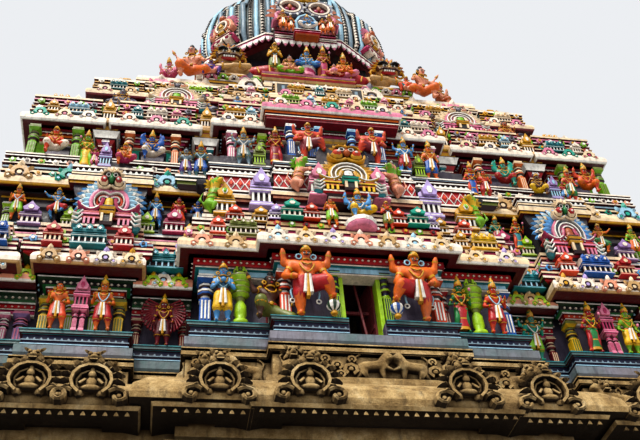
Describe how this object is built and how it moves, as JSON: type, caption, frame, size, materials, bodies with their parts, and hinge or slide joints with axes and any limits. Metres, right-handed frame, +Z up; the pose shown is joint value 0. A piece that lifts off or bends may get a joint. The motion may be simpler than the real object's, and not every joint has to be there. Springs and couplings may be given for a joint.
{
  "type": "gopuram, south indian temple gateway tower",
  "caption": "Temple gateway tower: granite base with a passage, stepped painted storeys, a ribbed vault roof and brass finials.",
  "frame": {"origin": "centre of the footprint, on the ground", "axes": "+Z up, -Y out of the front face, +X to the right seen from the front; the passage runs along Y"},
  "size_m": [22.26, 15.66, 37.89],
  "materials": {
    "granite": "weathered carved granite",
    "teal_plinth": "painted plaster mouldings",
    "cream_mouldings": "painted plaster",
    "wall_paint": "painted plaster",
    "neck_paint": "painted plaster",
    "roof_paint": "painted plaster ribs",
    "brass": "weathered brass",
    "figure_paint": "painted stucco figures",
    "ornament_paint": "painted stucco ornament",
    "door_wood": "old timber"
  },
  "bodies": {
    "root": {"back_eave_1": "cream_mouldings", "back_eave_3": "cream_mouldings", "back_gable": "roof_paint", "back_wall_2": "wall_paint", "back_wall_4": "wall_paint", "back_wall_left_1": "wall_paint", "back_wall_left_3": "wall_paint", "back_wall_right_1": "wall_paint", "back_wall_right_3": "wall_paint", "base_cornice": "granite", "base_frieze": "granite", "base_plinth_left": "granite", "base_plinth_right": "granite", "base_wall_left": "granite", "base_wall_right": "granite", "end_wall_left_1": "wall_paint", "end_wall_left_2": "wall_paint", "end_wall_left_3": "wall_paint", "end_wall_left_4": "wall_paint", "end_wall_right_1": "wall_paint", "end_wall_right_2": "wall_paint", "end_wall_right_3": "wall_paint", "end_wall_right_4": "wall_paint", "floor_1": "teal_plinth", "floor_2": "cream_mouldings", "floor_3": "cream_mouldings", "floor_4": "cream_mouldings", "front_eave_1": "cream_mouldings", "front_eave_3": "cream_mouldings", "front_gable": "roof_paint", "front_wall_2": "wall_paint", "front_wall_4": "wall_paint", "front_wall_left_1": "wall_paint", "front_wall_left_3": "wall_paint", "front_wall_right_1": "wall_paint", "front_wall_right_3": "wall_paint", "gateway_lintel": "granite", "neck_back": "neck_paint", "neck_front": "neck_paint", "neck_left": "neck_paint", "neck_right": "neck_paint", "ridge_with_finials": "brass", "roof_eave": "cream_mouldings", "roof_vault": "roof_paint", "top_platform": "cream_mouldings"}
  },
  "joints": []
}
